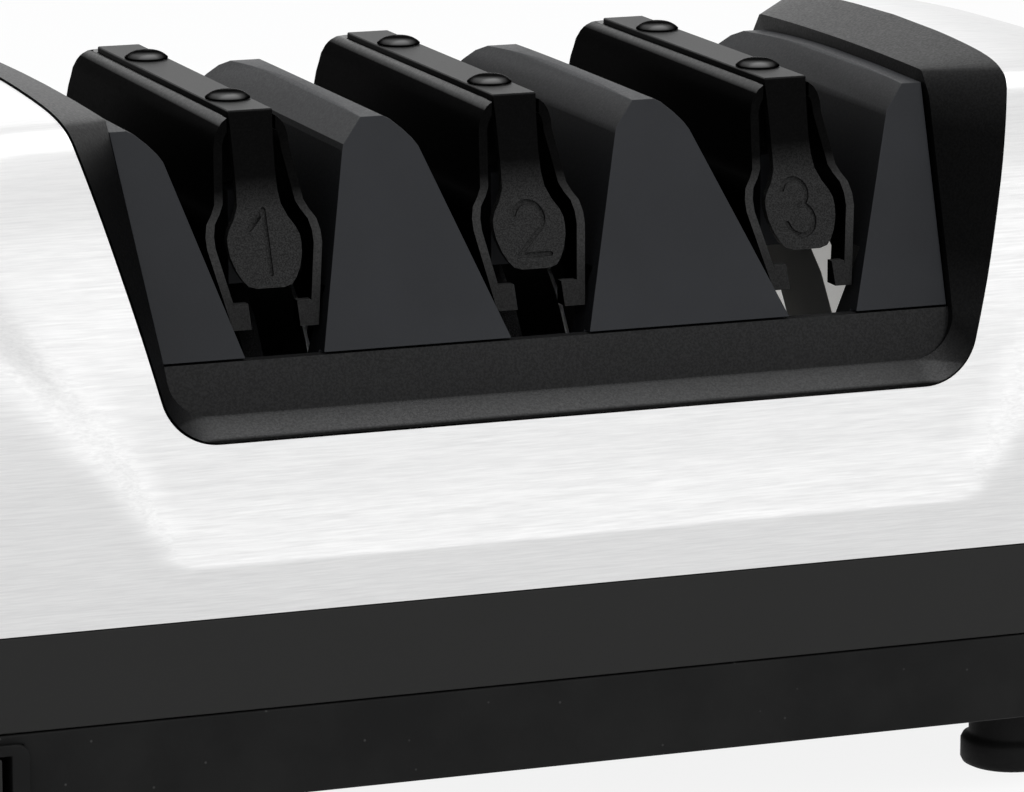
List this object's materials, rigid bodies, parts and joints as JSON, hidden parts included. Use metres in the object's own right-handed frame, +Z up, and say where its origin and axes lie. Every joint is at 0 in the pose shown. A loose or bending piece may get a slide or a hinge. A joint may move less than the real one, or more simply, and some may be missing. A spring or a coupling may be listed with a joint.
{
  "type": "electric knife sharpener",
  "caption": "Benchtop electric knife sharpener: brushed metal cover over a black base, a cradle of blade slots with spring guides and sprung abrasive discs on a motor shaft",
  "frame": {"origin": "under the middle of the body, on the surface that the feet stand on", "axes": "+X along the length to the right seen from the front, +Y to the back, +Z up"},
  "size_m": [0.254, 0.112, 0.1075],
  "materials": {
    "cover_metal": "fine grain brushed along the length",
    "frame_plastic": "satin black",
    "guide_plastic": "matt, dark blue-grey",
    "spring_plastic": "satin black",
    "bridge_plastic": "grained black",
    "band_plastic": "smooth satin black",
    "tray_plastic": "matt black with faint scuffs",
    "foot_rubber": "matt black",
    "bright_steel": "bright turned steel",
    "black_screw": "satin black",
    "diamond_abrasive": "fine diamond grit on plated steel",
    "stropping_polymer": "off-white abrasive-filled polymer",
    "motor_iron": "varnished laminations",
    "copper_winding": "enamelled copper wire",
    "bearing_bronze": "sintered bronze",
    "fan_plastic": "matt black",
    "magnet_ferrite": "dull ferrite"
  },
  "bodies": {
    "housing": {"metal_cover": "cover_metal", "cradle_frame": "frame_plastic", "guide_insert": "guide_plastic", "base_band": "band_plastic", "base_tray": "tray_plastic", "foot_front_left": "foot_rubber", "foot_rear_left": "foot_rubber", "foot_front_right": "foot_rubber", "foot_rear_right": "foot_rubber", "base_screw_1": "bright_steel", "base_screw_2": "bright_steel", "base_screw_3": "bright_steel", "base_screw_4": "bright_steel", "blade_spring_1": "spring_plastic", "bridge_plate_1": "bridge_plastic", "bridge_screw_front_1": "black_screw", "bridge_screw_rear_1": "black_screw", "blade_spring_2": "spring_plastic", "bridge_plate_2": "bridge_plastic", "bridge_screw_front_2": "black_screw", "bridge_screw_rear_2": "black_screw", "blade_spring_3": "spring_plastic", "bridge_plate_3": "bridge_plastic", "bridge_screw_front_3": "black_screw", "bridge_screw_rear_3": "black_screw", "bearing_bracket_left": "bright_steel", "bearing_bracket_middle": "bright_steel", "bearing_bracket_right": "bright_steel", "motor_stator": "motor_iron", "motor_coil": "copper_winding", "bearing_left": "bearing_bronze", "bearing_middle": "bearing_bronze", "bearing_right": "bearing_bronze", "switch_housing": "tray_plastic", "cord_gland": "foot_rubber"},
    "shaft": {"drive_shaft": "bright_steel", "motor_rotor": "bright_steel", "cooling_fan": "fan_plastic", "drive_pin_left_1": "bright_steel", "drive_pin_right_1": "bright_steel", "drive_pin_left_2": "bright_steel", "drive_pin_right_2": "bright_steel", "drive_pin_left_3": "bright_steel", "drive_pin_right_3": "bright_steel", "disc_spring_1": "bright_steel", "disc_spring_2": "bright_steel", "disc_spring_3": "bright_steel"},
    "disc_left_1_body": {"disc_left_1": "diamond_abrasive"},
    "disc_right_1_body": {"disc_right_1": "diamond_abrasive"},
    "disc_left_2_body": {"disc_left_2": "diamond_abrasive"},
    "disc_right_2_body": {"disc_right_2": "diamond_abrasive"},
    "disc_left_3_body": {"disc_left_3": "stropping_polymer"},
    "disc_right_3_body": {"disc_right_3": "stropping_polymer"},
    "rocker": {"switch_rocker": "band_plastic"},
    "lever": {"dressing_lever": "frame_plastic", "dressing_pad": "diamond_abrasive"},
    "door": {"clean_out_cover": "tray_plastic", "cover_magnet": "magnet_ferrite"}
  },
  "joints": [
    {"name": "shaft_spin", "type": "hinge", "parent": "housing", "child": "shaft", "pos_m": [0, 0, 0.052], "axis": [1, 0, 0], "continuous": true},
    {"name": "disc_left_1_slide", "type": "slide", "parent": "shaft", "child": "disc_left_1_body", "axis": [1, 0, 0], "range_m": [0, 0.0006], "stiffness_N_per_m": 1500, "springref_m": -0.001, "deforming": ["disc_spring_1"]},
    {"name": "disc_right_1_slide", "type": "slide", "parent": "shaft", "child": "disc_right_1_body", "axis": [-1, 0, 0], "range_m": [0, 0.0006], "stiffness_N_per_m": 1500, "springref_m": -0.001, "deforming": ["disc_spring_1"]},
    {"name": "disc_left_2_slide", "type": "slide", "parent": "shaft", "child": "disc_left_2_body", "axis": [1, 0, 0], "range_m": [0, 0.0006], "stiffness_N_per_m": 1500, "springref_m": -0.001, "deforming": ["disc_spring_2"]},
    {"name": "disc_right_2_slide", "type": "slide", "parent": "shaft", "child": "disc_right_2_body", "axis": [-1, 0, 0], "range_m": [0, 0.0006], "stiffness_N_per_m": 1500, "springref_m": -0.001, "deforming": ["disc_spring_2"]},
    {"name": "disc_left_3_slide", "type": "slide", "parent": "shaft", "child": "disc_left_3_body", "axis": [1, 0, 0], "range_m": [0, 0.0006], "stiffness_N_per_m": 1500, "springref_m": -0.001, "deforming": ["disc_spring_3"]},
    {"name": "disc_right_3_slide", "type": "slide", "parent": "shaft", "child": "disc_right_3_body", "axis": [-1, 0, 0], "range_m": [0, 0.0006], "stiffness_N_per_m": 1500, "springref_m": -0.001, "deforming": ["disc_spring_3"]},
    {"name": "switch_tip", "type": "hinge", "parent": "housing", "child": "rocker", "pos_m": [-0.09775, -0.0515, 0.0171], "axis": [0, 0, 1], "range_deg": [0, 14]},
    {"name": "dressing_swing", "type": "hinge", "parent": "housing", "child": "lever", "pos_m": [0.0401, 0.045, 0.0303], "axis": [0, 0, 1], "range_deg": [-4, 4], "stiffness_Nm_per_rad": 0.05},
    {"name": "clean_out_drop", "type": "slide", "parent": "housing", "child": "door", "axis": [0, 0, -1], "range_m": [0, 0.008]}
  ]
}
